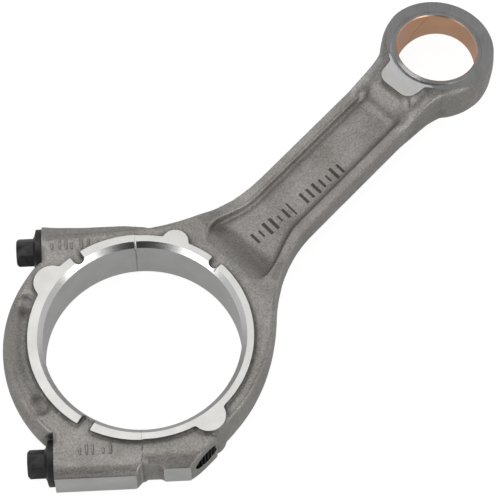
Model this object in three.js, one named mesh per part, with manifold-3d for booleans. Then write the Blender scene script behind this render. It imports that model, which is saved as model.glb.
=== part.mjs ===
// Connecting rod with an angled, fracture-split big end: rod, cap, two flanged cap bolts and a pin bush.
// Millimetres. The rod lies flat: +X runs from the big end to the small end, +Z is along both bores.
// Everything is drawn about the big-end bore axis with the back thrust face at z = 0.
// The last step moves the origin to the middle of the bounding box, on the floor.
import * as THREE from "three";
import { mergeVertices } from "three/addons/utils/BufferGeometryUtils.js";
import Module from "manifold-3d";

const wasm = await Module();
wasm.setup();

// main sizes
const centreDistance = 174.8;
const bigBoreRadius = 38.5;
const bigEndWidth = 24.8;
const pinBoreRadius = 16.3;
const splitAngle = 45; // degrees between the rod's axis and the split plane
const splitOffset = -1.5; // the split plane passes this far from the bore axis, towards the cap
const gap = 0.3; // between pieces that touch

// big end
const boreChamfer = 2.0;
const ringStep = 2.45; // how far the forged faces lie below the ground thrust faces
const rodRingRadius = bigBoreRadius + 4.6;
const capRingRadius = bigBoreRadius + 4.9;
const capRingShift = 0.9; // the cap's ring is centred this far towards the middle of the cap
const capOuterRadius = bigBoreRadius + 16.2;
const capEdgeRadius = capOuterRadius - 3.1; // the rim's section is rounded off to this at its faces
const edgeRound = 1.4; // forged edge radius
const lobes = [
  { angle: 99.5, reach: bigBoreRadius + 10.8, radius: 7.2 },
  { angle: 25.3, reach: bigBoreRadius + 8.8, radius: 5.2 },
  { angle: 260, reach: bigBoreRadius + 10.2, radius: 6.6 },
];
const notches = [
  { angle: 0.5, tip: bigBoreRadius + 1, width: 4.7 },
  { angle: 80, tip: bigBoreRadius + 1, width: 4.6 },
  { angle: 192.5, tip: bigBoreRadius - 1.5, width: 5.6 },
];
const valley = { along: bigBoreRadius + 9.4, radius: 6.2, from: 115, to: 168, depth: 2.2 };

// bolts: u is measured along the split plane, w across it, away from the cap
const boltRadius = 4.25;
const boltReach = 17.7; // the bolts end this far beyond the bore axis
const bolts = [
  {
    name: "upper_bolt",
    u: bigBoreRadius + boltRadius + 1.05,
    seat: 0.2 - bigBoreRadius,
    holeEnd: boltReach + 6.3,
  },
  {
    name: "lower_bolt",
    u: -bigBoreRadius - boltRadius - 3.65,
    seat: 3.2 - bigBoreRadius,
    holeEnd: bigBoreRadius + 21.5, // out through the rod's flank
  },
];
const bossRadius = boltRadius + 5.65;
const boltHoleRadius = boltRadius + 0.35;
const threadHoleRadius = boltRadius + gap;
const flangeRadius = boltRadius + 4.75;
const spotFaceRadius = flangeRadius + 0.7;
const flangeHeight = 2.7;
const headHeight = 7.1;
const headAcrossFlats = 2 * boltRadius + 1.5;
const lowerFlat = boltRadius + 5.05 - bolts[1].u; // machined flat on the cap's lower bolt boss
const rodPad = lowerFlat - 2.3; // machined pad beside it on the rod
const padNotch = rodPad - 1.5; // floor of the notch between them, across the split
const sideLimit = bigBoreRadius + boltRadius + 6.55; // flank of the rod below the lower bolt

// beam
const beamHalfWidth = 14.3;
const beamThickness = 12.4;
const webThickness = 5.4;
const beamStep = (bigEndWidth - beamThickness) / 2; // flange faces below the thrust faces
const webStep = (bigEndWidth - webThickness) / 2; // web faces below the thrust faces
const pocketHalfWidth = beamHalfWidth - 4.4;
const pocketStart = bigBoreRadius + 8;
const neckStart = bigBoreRadius + 46.3; // the beam's sides run straight from here

// small end
const eyeRadius = pinBoreRadius + 6.5;
const eyeOffset = 0.5; // the eye's outside is centred this far past the pin's axis
const eyeShoulder = 2.5; // the eye narrows by this up to its ground faces
const eyeBulge = 0.6; // forging draft at the parting line
const bushWall = 1.9;
const eyeChamfer = 1.25;
const taperAngle = 9.2; // degrees, each face
const taperStart = pinBoreRadius; // from the pin bore's axis, towards the beam
const milledStep = 0.35;
const milledStart = eyeRadius - 1.5;
const padStart = eyeRadius + 4.6;
const padHalfWidth = 8.7;
const neckEnd = centreDistance - eyeRadius - 10.2; // the beam's sides run straight up to here

const rad = (degrees) => (degrees * Math.PI) / 180;
const far = 400;

// point at u along the split plane and w across it
function at(u, w) {
  const a = rad(splitAngle);
  return [u * Math.cos(a) + w * Math.sin(a), u * Math.sin(a) - w * Math.cos(a)];
}

function solid(geometry) {
  const bare = geometry.clone();
  bare.deleteAttribute("normal");
  bare.deleteAttribute("uv");
  const merged = mergeVertices(bare, 1e-4);
  const mesh = new wasm.Mesh({
    numProp: 3,
    vertProperties: new Float32Array(merged.attributes.position.array),
    triVerts: new Uint32Array(merged.index.array),
  });
  return new wasm.Manifold(mesh);
}

// plan outline between two heights, its edges rounded
function plate(shape, low, high, round = 0, segments = 10) {
  const geometry = new THREE.ExtrudeGeometry(shape, {
    depth: high - low - 2 * round,
    bevelEnabled: round > 0,
    bevelThickness: round,
    bevelSize: round,
    bevelOffset: -round,
    bevelSegments: 2,
    curveSegments: segments,
  });
  geometry.translate(0, 0, low + round);
  return solid(geometry);
}

// outline in x and z, pushed through along y
function sideProfile(points) {
  const shape = new THREE.Shape();
  points.forEach(([x, z], i) => (i ? shape.lineTo(x, z) : shape.moveTo(x, z)));
  shape.closePath();
  const geometry = new THREE.ExtrudeGeometry(shape, { depth: far, bevelEnabled: false });
  geometry.rotateX(Math.PI / 2);
  geometry.translate(0, far / 2, 0);
  return solid(geometry);
}

function turned(profile, x = 0, y = 0, segments = 96) {
  const points = profile.map(([r, z]) => new THREE.Vector2(r, z));
  const geometry = new THREE.LatheGeometry(points, segments);
  geometry.rotateX(Math.PI / 2);
  geometry.translate(x, y, 0);
  return solid(geometry);
}

function drum(radius, low, high, x = 0, y = 0, segments = 96) {
  return turned([[0, low], [radius, low], [radius, high], [0, high]], x, y, segments);
}

// profile of [radius, w] points turned about a bolt's axis
function turnedOnBolt(profile, u, segments = 40) {
  const points = profile.map(([r, w]) => new THREE.Vector2(r, w));
  return solid(placeOnBolt(new THREE.LatheGeometry(points, segments), u));
}

// a geometry standing along +Y is laid along +w on the bolt's axis
function placeOnBolt(geometry, u) {
  const [x, y] = at(u, 0);
  geometry.rotateZ(rad(splitAngle - 180));
  geometry.translate(x, y, bigEndWidth / 2);
  return geometry;
}

function box(xLow, xHigh, yLow, yHigh, zLow, zHigh) {
  const geometry = new THREE.BoxGeometry(xHigh - xLow, yHigh - yLow, zHigh - zLow);
  geometry.translate((xLow + xHigh) / 2, (yLow + yHigh) / 2, (zLow + zHigh) / 2);
  return solid(geometry);
}

// box given along u and w
function tiltedBox(uLow, uHigh, wLow, wHigh, zLow = -far, zHigh = far) {
  const geometry = new THREE.BoxGeometry(uHigh - uLow, wHigh - wLow, zHigh - zLow);
  geometry.translate((uLow + uHigh) / 2, -(wLow + wHigh) / 2, (zLow + zHigh) / 2);
  geometry.rotateZ(rad(splitAngle));
  return solid(geometry);
}

// plan outline of the cap, the big end's shoulders, the beam and the eye
function forgingOutline() {
  const shape = new THREE.Shape();
  const upper = bolts[0];
  const lower = bolts[1];
  const bossEdge = 1 - lower.u;
  const r = bigBoreRadius;
  const side = beamHalfWidth;
  const eyeAngle = rad(128);
  const eyeEdge = eyeRadius - 0.4;
  const eyeX = centreDistance + eyeOffset + eyeEdge * Math.cos(eyeAngle);
  const eyeY = eyeEdge * Math.sin(eyeAngle);
  const seatInner = Math.sqrt(capEdgeRadius ** 2 - upper.seat ** 2);
  const seatInnerLow = Math.sqrt(capEdgeRadius ** 2 - lower.seat ** 2);
  shape.moveTo(...at(upper.u + 1.4, upper.seat));
  shape.lineTo(...at(upper.u + 3.4, -4));
  shape.bezierCurveTo(r + 6, r - 14.5, r + 23.5, side, neckStart, side);
  shape.lineTo(neckEnd, side);
  shape.bezierCurveTo(neckEnd + 7, side, eyeX - 6, eyeY - 3.6, eyeX, eyeY);
  shape.absarc(centreDistance + eyeOffset, 0, eyeEdge, eyeAngle, -eyeAngle, true);
  shape.bezierCurveTo(eyeX - 6, 3.6 - eyeY, neckEnd + 7, -side, neckEnd, -side);
  shape.lineTo(neckStart, -side);
  shape.bezierCurveTo(r + 27.5, -side, r + 16.5, 17.5 - r, r + 8.3, 10.7 - r);
  shape.bezierCurveTo(r - 2.5, 1.3 - r, 0.52 * r, -r - 8.5, 0, -r - 9.4);
  shape.lineTo(-0.545 * r, -r - 10.4);
  shape.lineTo(...at(-bossEdge, 17));
  shape.lineTo(...at(-bossEdge, lower.seat));
  shape.lineTo(...at(-seatInnerLow, lower.seat));
  const from = Math.atan2(...at(-seatInnerLow, lower.seat).reverse());
  const to = Math.atan2(...at(seatInner, upper.seat).reverse());
  shape.absarc(0, 0, capEdgeRadius, from, to, true);
  shape.closePath();
  return shape;
}

// thickness of the forging along the rod: thick at both ends, thinner in the beam
function beamRelief() {
  const start = bigBoreRadius + 6.5;
  const end = centreDistance - taperStart - 0.7;
  const flatEnd = neckEnd - 5;
  const step = [
    [start, ringStep],
    [start + 8, ringStep + 0.5],
    [start + 16, beamStep - 1.1],
    [start + 26, beamStep],
    [flatEnd, beamStep],
    [flatEnd + 7, beamStep - 1.6],
    [end - 8, ringStep + 1.2],
    [end, ringStep],
  ];
  const front = step.map(([x, d]) => [x, bigEndWidth - d]);
  const back = step.map(([x, d]) => [x, d]).reverse();
  const above = sideProfile([...front, [end, far], [start, far]]);
  const below = sideProfile([...back, [start, -far], [end, -far]]);
  return above.add(below);
}

function pocketOutline(end) {
  const shape = new THREE.Shape();
  const corner = 5.5;
  const start = pocketStart;
  const a = pocketHalfWidth;
  shape.moveTo(end - corner, a);
  shape.lineTo(start + 30.5, a);
  shape.bezierCurveTo(start + 20.5, a, start + 16.5, a + 4.2, start + 10.5, a + 4.3);
  shape.bezierCurveTo(start + 5.5, a + 4.4, start + 1.2, a + 1, start, a - 4);
  shape.lineTo(start, -a - 4.4);
  shape.bezierCurveTo(start, -a - 6.6, start + 3, -a - 7.4, start + 7, -a - 7);
  shape.bezierCurveTo(start + 14.5, -a - 5.7, start + 21.5, -a - 1.5, start + 30.5, -a);
  shape.lineTo(end - corner, -a);
  shape.bezierCurveTo(end - 1.5, -a, end, -a + 2, end, -a + corner);
  shape.lineTo(end, a - corner);
  shape.bezierCurveTo(end, a - 2, end - 1.5, a, end - corner, a);
  return shape;
}

// points of a soft ramp between two depths, along x
function softRamp(fromX, toX, fromDepth, toDepth) {
  const steps = 7;
  const points = [];
  for (let i = 0; i <= steps; i += 1) {
    const t = i / steps;
    const blend = t * t * (3 - 2 * t);
    points.push([fromX + (toX - fromX) * t, fromDepth + (toDepth - fromDepth) * blend]);
  }
  return points;
}

// the beam's two pockets: their floor ramps up to the ring's foot and to the pad by the eye
function pockets() {
  const end = centreDistance - padStart - 0.3;
  const shape = pocketOutline(end);
  const floor = [
    ...softRamp(pocketStart, pocketStart + 14, ringStep, webStep),
    ...softRamp(end - 7.5, end, webStep, beamStep - 2.4),
  ];
  const top = floor.map(([x, d]) => [x, bigEndWidth - d]);
  const above = sideProfile([...top, [end, far], [pocketStart, far]]);
  const below = sideProfile([...floor].reverse().concat([[pocketStart, -far], [end, -far]]));
  const front = plate(shape, bigEndWidth - webStep, bigEndWidth + 8, 2.2, 6);
  const back = plate(shape, -8, webStep, 2.2, 6);
  return front.intersect(above).add(back.intersect(below));
}

// ground thrust ring, wider on the cap, with its three round lobes
function thrustRing() {
  const half = tiltedBox(-far, far, -far, splitOffset);
  const inside = bigBoreRadius - 2.5;
  let ring = drum(rodRingRadius, 0, bigEndWidth);
  const [capX, capY] = at(0, -capRingShift);
  ring = ring.add(drum(capRingRadius, 0, bigEndWidth, capX, capY).intersect(half));
  for (const lobe of lobes) {
    const middle = lobe.reach - lobe.radius;
    const shape = new THREE.Shape();
    shape.moveTo(inside, -lobe.radius - 4.2);
    shape.lineTo(middle - 1.8, -lobe.radius - 2.4);
    shape.quadraticCurveTo(middle - 0.6, -lobe.radius - 0.4, middle, -lobe.radius * 0.93);
    shape.absarc(middle, 0, lobe.radius, -Math.PI / 2.3, Math.PI / 2.3, false);
    shape.lineTo(middle, lobe.radius * 0.93);
    shape.quadraticCurveTo(middle - 0.6, lobe.radius + 0.4, middle - 1.8, lobe.radius + 2.4);
    shape.lineTo(inside, lobe.radius + 4.2);
    shape.closePath();
    ring = ring.add(plate(shape, 0, bigEndWidth, 0, 8).rotate([0, 0, lobe.angle]));
  }
  return ring;
}

// forged notches across the ring, on both faces
function ringNotches() {
  const outside = bigBoreRadius + 21.5;
  const cutters = [];
  for (const notch of notches) {
    const r = notch.width / 2;
    const shape = new THREE.Shape();
    shape.moveTo(outside, r);
    shape.lineTo(notch.tip + 1.4, r);
    shape.quadraticCurveTo(notch.tip, r * 0.9, notch.tip, 0);
    shape.quadraticCurveTo(notch.tip, -r * 0.9, notch.tip + 1.4, -r);
    shape.lineTo(outside, -r);
    shape.closePath();
    const front = plate(shape, bigEndWidth - ringStep, bigEndWidth + 5, 0, 4);
    const back = plate(shape, -5, ringStep, 0, 4);
    cutters.push(front.rotate([0, 0, notch.angle]), back.rotate([0, 0, notch.angle]));
  }
  return cutters.reduce((a, b) => a.add(b));
}

// curved trough in the cap's two faces, between the ring and the rim
function capValley() {
  const arc = new THREE.Shape();
  arc.moveTo(0, 0);
  arc.absarc(0, 0, capOuterRadius + 20, rad(valley.from), rad(valley.to), false);
  arc.closePath();
  let trough = solid(new THREE.TorusGeometry(valley.along, valley.radius, 28, 144));
  trough = trough.intersect(plate(arc, -far, far));
  for (const angle of [rad(valley.from), rad(valley.to)]) {
    const end = new THREE.SphereGeometry(valley.radius, 28, 20);
    end.translate(valley.along * Math.cos(angle), valley.along * Math.sin(angle), 0);
    trough = trough.add(solid(end));
  }
  const rise = valley.radius - valley.depth - ringStep;
  return trough.translate([0, 0, bigEndWidth + rise]).add(trough.translate([0, 0, -rise]));
}

// section of a boss in u and z, pushed along w; its outer edges are rounded
function bossBlock(inner, outer, wLow, wHigh, round) {
  const half = bigEndWidth / 2 - ringStep;
  const mid = bigEndWidth / 2;
  const shape = new THREE.Shape();
  shape.moveTo(inner, mid - half);
  shape.lineTo(inner, mid + half);
  shape.lineTo(outer + round, mid + half);
  shape.absarc(outer + round, mid + half - round, round, Math.PI / 2, Math.PI, false);
  shape.absarc(outer + round, mid - half + round, round, Math.PI, Math.PI * 1.5, false);
  shape.closePath();
  const geometry = new THREE.ExtrudeGeometry(shape, {
    depth: wHigh - wLow,
    bevelEnabled: false,
    curveSegments: 8,
  });
  geometry.rotateX(Math.PI / 2);
  geometry.translate(0, -wLow, 0);
  geometry.rotateZ(rad(splitAngle));
  return solid(geometry);
}

// bosses along the bolts: the upper one is round, the lower one is milled flat outside
function boltBosses() {
  const [upper, lower] = bolts;
  const r = bossRadius;
  const neck = r - 1;
  const upperBoss = turnedOnBolt(
    [
      [0, upper.seat],
      [r, upper.seat],
      [r - 0.5, upper.seat + 5],
      [neck, upper.seat + 16],
      [neck, -6],
      [neck - 0.8, 2],
      [neck - 4, 16],
      [0, 24],
    ],
    upper.u,
    48,
  );
  const capBlock = bossBlock(lower.u + 4, -lowerFlat, lower.seat, splitOffset + 1, 4.6);
  const rodBlock = bossBlock(lower.u + 4, -rodPad - 1, splitOffset, 36, 7.5)
    .intersect(box(-far, far, -sideLimit, far, -far, far))
    .subtract(tiltedBox(-far, -rodPad, splitOffset, 40));
  const notch = new THREE.Shape();
  notch.moveTo(...at(-far, splitOffset - 6));
  notch.lineTo(...at(-lowerFlat - 1, splitOffset - 3.4));
  notch.lineTo(...at(-padNotch, splitOffset - 0.6));
  notch.lineTo(...at(-padNotch, splitOffset + 6.4));
  notch.lineTo(...at(-rodPad - 0.6, splitOffset + 8.6));
  notch.lineTo(...at(-far, splitOffset + 8.6));
  notch.closePath();
  return upperBoss.add(capBlock).add(rodBlock).subtract(plate(notch, -5, bigEndWidth + 5));
}

// rounded rim around the cap
function capRim() {
  const m = bigEndWidth / 2;
  const half = [
    [capEdgeRadius - 0.3, ringStep],
    [capEdgeRadius + 0.6, ringStep + 0.6],
    [capEdgeRadius + 1.8, ringStep + 3.4],
    [capOuterRadius - 0.3, m - 3.2],
    [capOuterRadius, m],
  ];
  const mirrored = half.slice(0, -1).reverse().map(([r, z]) => [r, bigEndWidth - z]);
  const inner = capRingRadius;
  const top = bigEndWidth - ringStep;
  const profile = [[inner, ringStep], ...half, ...mirrored, [inner, top], [inner, ringStep]];
  const slab = tiltedBox(bolts[1].u + 3, bolts[0].u - 3, -far, splitOffset - 12);
  return turned(profile, 0, 0, 128).intersect(slab);
}

function smallEye() {
  const top = eyeRadius - eyeShoulder;
  const mid = bigEndWidth / 2;
  const edge = 3.1;
  const profile = [
    [0, 0],
    [top, 0],
    [top + eyeShoulder * 0.4, edge / 2],
    [eyeRadius, edge],
    [eyeRadius + eyeBulge, mid],
    [eyeRadius, bigEndWidth - edge],
    [top + eyeShoulder * 0.4, bigEndWidth - edge / 2],
    [top, bigEndWidth],
    [0, bigEndWidth],
  ];
  return turned(profile, centreDistance + eyeOffset, 0);
}

// the raised pad where the beam runs into the eye
function eyePad() {
  const left = centreDistance - padStart;
  const right = centreDistance - milledStart + 8;
  const w = padHalfWidth;
  const shape = new THREE.Shape();
  shape.moveTo(right, w + 1);
  shape.lineTo(left + 5, w);
  shape.quadraticCurveTo(left, w - 0.5, left, w - 5);
  shape.lineTo(left, 5 - w);
  shape.quadraticCurveTo(left, 0.5 - w, left + 5, -w);
  shape.lineTo(right, -w - 1);
  shape.closePath();
  const block = plate(shape, 0, bigEndWidth, 0, 6);
  const foot = [
    [left - 2.8, bigEndWidth - beamStep + 1.6],
    [left, bigEndWidth - 1.4],
    [right, bigEndWidth - 1.4],
    [right, 1.4],
    [left, 1.4],
    [left - 2.8, beamStep - 1.6],
  ];
  const ramp = sideProfile(foot).intersect(box(left - 3, right, -w - 1, w + 1, 0, bigEndWidth));
  return block.add(ramp);
}

// material that milling takes off the small end's two faces
function taperCut() {
  const t = Math.tan(rad(taperAngle));
  const x0 = centreDistance - milledStart;
  const x1 = centreDistance - taperStart;
  const x2 = centreDistance + 60;
  const drop = milledStep + (x2 - x1) * t;
  const top = bigEndWidth;
  const above = sideProfile([
    [x0, top - milledStep], [x1, top - milledStep], [x2, top - drop], [x2, top + 20], [x0, top + 20],
  ]);
  const below = sideProfile([[x0, milledStep], [x0, -20], [x2, -20], [x2, drop], [x1, milledStep]]);
  return above.add(below);
}

// bore with a chamfer at each ground face
function boreCutter() {
  const r = bigBoreRadius;
  const c = boreChamfer;
  const t = bigEndWidth;
  const profile = [
    [0, -5], [r + c + 5, -5], [r, c], [r, t - c], [r + c + 5, t + 5], [0, t + 5],
  ];
  return turned(profile, 0, 0, 128);
}

// spot face for the flange, clearance hole through the cap, tapped hole in the rod
function boltHoles() {
  let holes = null;
  for (const bolt of bolts) {
    const profile = [
      [0, bolt.seat - 30],
      [spotFaceRadius, bolt.seat - 30],
      [spotFaceRadius, bolt.seat],
      [boltHoleRadius, bolt.seat],
      [boltHoleRadius, splitOffset + 3],
      [threadHoleRadius, splitOffset + 3],
      [threadHoleRadius, bolt.holeEnd],
      [0, bolt.holeEnd + 3],
    ];
    const hole = turnedOnBolt(profile, bolt.u, 32);
    holes = holes ? holes.add(hole) : hole;
  }
  return holes;
}

// the whole forging with its machining, before the cap is split off
function wholeForging() {
  const plan = plate(forgingOutline(), ringStep, bigEndWidth - ringStep, edgeRound, 16);
  return plan
    .subtract(beamRelief())
    .add(smallEye())
    .add(eyePad())
    .subtract(pockets())
    .add(boltBosses())
    .add(capRim())
    .subtract(capValley())
    .add(thrustRing())
    .subtract(ringNotches())
    .subtract(taperCut())
    .subtract(boreCutter())
    .subtract(boltHoles());
}

// bore for the bush; its chamfers are cut before the faces are tapered, so a crescent of them is left
function eyeBore() {
  const r = pinBoreRadius + bushWall + gap;
  const face = bigEndWidth - milledStep;
  const c = eyeChamfer;
  const profile = [
    [0, -20], [r + c + 4, -20], [r + c + 4, milledStep - 4], [r, milledStep + c],
    [r, face - c], [r + c + 4, face + 4], [r + c + 4, face + 20], [0, face + 20],
  ];
  return turned(profile, centreDistance, 0, 72);
}

function rodBody(forging) {
  const rodSide = tiltedBox(-far, far, splitOffset + gap / 2, far);
  return forging.intersect(rodSide).subtract(eyeBore());
}

function bearingCap(forging) {
  return forging.intersect(tiltedBox(-far, far, -far, splitOffset - gap / 2));
}

function pinBush() {
  const r = pinBoreRadius;
  const t = bigEndWidth;
  const bore = turned(
    [[0, -5], [r, -5], [r, t + 5], [0, t + 5]], centreDistance, 0, 72);
  const shell = drum(r + bushWall, 0, t, centreDistance, 0, 72);
  return shell.subtract(bore).subtract(taperCut());
}

// flanged bolt with a hexagon head
function capBolt(bolt) {
  const face = bolt.seat - gap;
  const headTop = face - flangeHeight - headHeight;
  const r = boltRadius;
  const end = boltReach - gap;
  const body = turnedOnBolt(
    [
      [0, face - flangeHeight - 1],
      [r + 0.95, face - flangeHeight - 1],
      [flangeRadius - 2.6, face - flangeHeight + 0.5],
      [flangeRadius, face - 1.3],
      [flangeRadius, face],
      [r, face],
      [r, end - 1],
      [r - 1, end],
      [0, end],
    ],
    bolt.u,
    48,
  );
  const corner = headAcrossFlats / 2 / Math.cos(rad(30));
  const points = [];
  for (let i = 0; i < 6; i += 1) {
    const a = rad(60 * i + 10);
    points.push(new THREE.Vector2(corner * Math.sin(a), corner * Math.cos(a)));
  }
  const hex = new THREE.ExtrudeGeometry(new THREE.Shape(points), {
    depth: headHeight + 1,
    bevelEnabled: false,
  });
  hex.rotateX(Math.PI / 2);
  hex.translate(0, headTop + headHeight + 1, 0);
  // the head's corners are turned off at its end
  const trim = turnedOnBolt(
    [
      [0, headTop],
      [corner - 1.4, headTop],
      [corner + 0.2, headTop + 1.2],
      [corner + 0.2, face - 0.5],
      [0, face - 0.5],
    ],
    bolt.u,
    48,
  );
  return body.add(solid(placeOnBolt(hex, bolt.u)).intersect(trim));
}

function forgedSteel() {
  return new THREE.MeshStandardMaterial({ color: 0x8d8a86, roughness: 0.62, metalness: 0.85 });
}

function blackOxide() {
  return new THREE.MeshStandardMaterial({ color: 0x2b2b2c, roughness: 0.48, metalness: 0.7 });
}

function bronze() {
  return new THREE.MeshStandardMaterial({ color: 0xb98a6c, roughness: 0.38, metalness: 0.9 });
}

function meshOf(name, manifold, material) {
  const data = manifold.getMesh();
  const geometry = new THREE.BufferGeometry();
  geometry.setAttribute("position", new THREE.BufferAttribute(new Float32Array(data.vertProperties), 3));
  geometry.setIndex(new THREE.BufferAttribute(new Uint32Array(data.triVerts), 1));
  geometry.computeVertexNormals();
  const mesh = new THREE.Mesh(geometry, material);
  mesh.name = name;
  return mesh;
}

const group = new THREE.Group();
group.name = "connecting_rod";
const forging = wholeForging();
group.add(meshOf("rod_body", rodBody(forging), forgedSteel()));
group.add(meshOf("bearing_cap", bearingCap(forging), forgedSteel()));
group.add(meshOf("pin_bush", pinBush(), bronze()));
for (const bolt of bolts) {
  group.add(meshOf(bolt.name, capBolt(bolt), blackOxide()));
}

const bounds = new THREE.Box3().setFromObject(group);
const middle = bounds.getCenter(new THREE.Vector3());
for (const mesh of group.children) {
  mesh.geometry.translate(-middle.x, -middle.y, -bounds.min.z);
}

export default group;
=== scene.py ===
import math

import bpy
from mathutils import Matrix, Vector, kdtree, noise


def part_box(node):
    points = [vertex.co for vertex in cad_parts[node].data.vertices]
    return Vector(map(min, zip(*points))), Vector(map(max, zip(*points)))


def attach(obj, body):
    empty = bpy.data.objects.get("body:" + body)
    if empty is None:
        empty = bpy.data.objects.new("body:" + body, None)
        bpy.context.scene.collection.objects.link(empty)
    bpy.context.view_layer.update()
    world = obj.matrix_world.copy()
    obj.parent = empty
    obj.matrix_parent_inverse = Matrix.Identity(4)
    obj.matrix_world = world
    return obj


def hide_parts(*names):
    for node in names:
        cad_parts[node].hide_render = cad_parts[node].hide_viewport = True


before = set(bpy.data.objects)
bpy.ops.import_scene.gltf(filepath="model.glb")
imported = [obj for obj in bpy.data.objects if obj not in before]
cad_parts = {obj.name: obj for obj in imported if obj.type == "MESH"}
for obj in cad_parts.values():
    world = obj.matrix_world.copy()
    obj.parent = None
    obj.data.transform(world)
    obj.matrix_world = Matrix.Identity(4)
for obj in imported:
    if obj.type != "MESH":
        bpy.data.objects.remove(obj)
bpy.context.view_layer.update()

mm = 0.001
threadPitch = 1.25

# the machined sizes of the rod and its cap, in millimetres
rod = {
    "centreDistance": 174.8,
    "splitOffset": -1.5,  # of the broken joint from the big-end bore's axis
    "boreRadius": 38.5,
    "boreChamfer": 2.0,
    "pinBoreRadius": 16.3,
    "bushWall": 1.9,
    "taperAngle": 9.2,  # of each face of the small end, in degrees
    "taperStart": 16.3,  # from the pin bore's axis towards the beam, as milledStart is
    "milledStart": 22.4,
    "milledStep": 0.35,  # the milled band lies this far below the thrust faces
    "padHalfWidth": 8.7,
    "eyeChamfer": 1.25,
    "capFlat": -55.7,  # flats on the lower side of the cap and of the rod, along the joint
    "padFlat": -53.4,
    "boltHole": 4.6,
    "spotFace": 9.7,
}
# each bolt's place along the joint, its seat and hole across it, and how far its seat is milled sideways
bolts = {
    "upper_bolt": {"u": 43.8, "seat": -38.3, "sweep": (34.5, 70), "length": 56, "fill": 24, "holeEnd": 24,
                   "body": "bolt_upper"},
    "lower_bolt": {"u": -46.4, "seat": -35.3, "sweep": (-80, -37.5), "length": 53, "fill": 18, "holeEnd": 60,
                   "body": "bolt_lower"},
}

bushLow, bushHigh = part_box("pin_bush")
rodLow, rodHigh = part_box("rod_body")
thick = (rodHigh.z - rodLow.z) / mm
middle = thick / 2
boreX = (bushLow.x + bushHigh.x) / 2 / mm - rod["centreDistance"]
boreY = (bushLow.y + bushHigh.y) / 2 / mm


# the cap is split off along a line at 45 degrees: u runs along it, w across it and away from the cap
def at(u, w):
    half = math.sqrt(0.5)
    return (u + w) * half, (u - w) * half


def along(x, y):
    half = math.sqrt(0.5)
    return (x + y) * half, (x - y) * half


def place(x, y, z):
    return Vector(((boreX + x) * mm, (boreY + y) * mm, z * mm))


def fromBore(point):
    return point.x / mm - boreX, point.y / mm - boreY, point.z / mm


# small helpers that stand for clicks
def only(obj):
    if bpy.context.mode != "OBJECT":
        bpy.ops.object.mode_set(mode="OBJECT")
    bpy.ops.object.select_all(action="DESELECT")
    obj.hide_set(False)
    obj.select_set(True)
    bpy.context.view_layer.objects.active = obj
    return obj


def named(name):
    obj = bpy.context.active_object
    obj.name = name
    obj.data.name = name
    return obj


def settle(obj):
    only(obj)
    bpy.ops.object.transform_apply(location=True, rotation=True, scale=True)
    return obj


def facesWhere(obj, test):
    only(obj)
    bpy.ops.object.mode_set(mode="EDIT")
    bpy.ops.mesh.select_mode(type="FACE")
    bpy.ops.mesh.select_all(action="DESELECT")
    bpy.ops.object.mode_set(mode="OBJECT")
    count = 0
    for face in obj.data.polygons:
        face.select = bool(test(face))
        count += face.select
    bpy.ops.object.mode_set(mode="EDIT")
    return count


def done():
    bpy.ops.object.mode_set(mode="OBJECT")


def grow(obj, test, shift):
    if facesWhere(obj, test):
        bpy.ops.mesh.extrude_region_move(TRANSFORM_OT_translate={"value": shift})
    done()


def applied(obj, kind, **settings):
    only(obj)
    step = obj.modifiers.new(kind, kind)
    for key, value in settings.items():
        setattr(step, key, value)
    bpy.ops.object.modifier_apply(modifier=step.name)
    return obj


def cut(obj, *cutters, operation="DIFFERENCE"):
    for cutter in cutters:
        applied(obj, "BOOLEAN", operation=operation, object=cutter, solver="MANIFOLD")
        bpy.data.objects.remove(cutter)
    return obj


def copyOf(obj, name):
    twin = obj.copy()
    twin.data = obj.data.copy()
    twin.name = name
    twin.data.name = name
    bpy.context.scene.collection.objects.link(twin)
    return twin


def drum(radius, low, high, x=0, y=0, sides=256):
    bpy.ops.mesh.primitive_cylinder_add(
        radius=radius * mm, depth=(high - low) * mm, vertices=sides, location=place(x, y, (low + high) / 2))
    return settle(named("cutter"))


# a drum's end drawn out into a cone
def flare(obj, up, rise, widen, x=0, y=0):
    facesWhere(obj, lambda face: face.normal.z * up > 0.9)
    bpy.ops.mesh.extrude_region_move(TRANSFORM_OT_translate={"value": (0, 0, up * rise * mm)})
    bpy.ops.transform.resize(value=(widen, widen, 1), center_override=place(x, y, 0))
    done()
    return obj


# a box between two corners, turned about the big-end bore's axis
def block(low, high, turn=0):
    size = [(b - a) * mm for a, b in zip(low, high)]
    centre = [(a + b) / 2 for a, b in zip(low, high)]
    bpy.ops.mesh.primitive_cube_add(size=1, location=(0, 0, 0))
    obj = named("cutter")
    obj.scale = size
    obj.location = Vector(centre) * mm
    settle(obj)
    obj.matrix_world = Matrix.Translation(place(0, 0, 0)) @ Matrix.Rotation(turn, 4, "Z")
    return settle(obj)


# block given along u and w
def tilted(uLow, uHigh, wLow, wHigh, zLow=-20, zHigh=60):
    return block((uLow, -wHigh, zLow), (uHigh, -wLow, zHigh), math.radians(45))


# a piece made standing on +Z is laid along a bolt's axis, its +Z along +w
def layOnBolt(obj, u, w=0):
    x, y = at(u, w)
    turn = Matrix.Rotation(math.radians(-45), 4, "Z") @ Matrix.Rotation(math.radians(90), 4, "Y")
    obj.matrix_world = Matrix.Translation(place(x, y, middle)) @ turn @ obj.matrix_world
    return settle(obj)


def boltDrum(radius, low, high, u):
    bpy.ops.mesh.primitive_cylinder_add(
        radius=radius * mm, depth=(high - low) * mm, vertices=96, location=(0, 0, (low + high) / 2 * mm))
    return layOnBolt(settle(named("cutter")), u)


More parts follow.
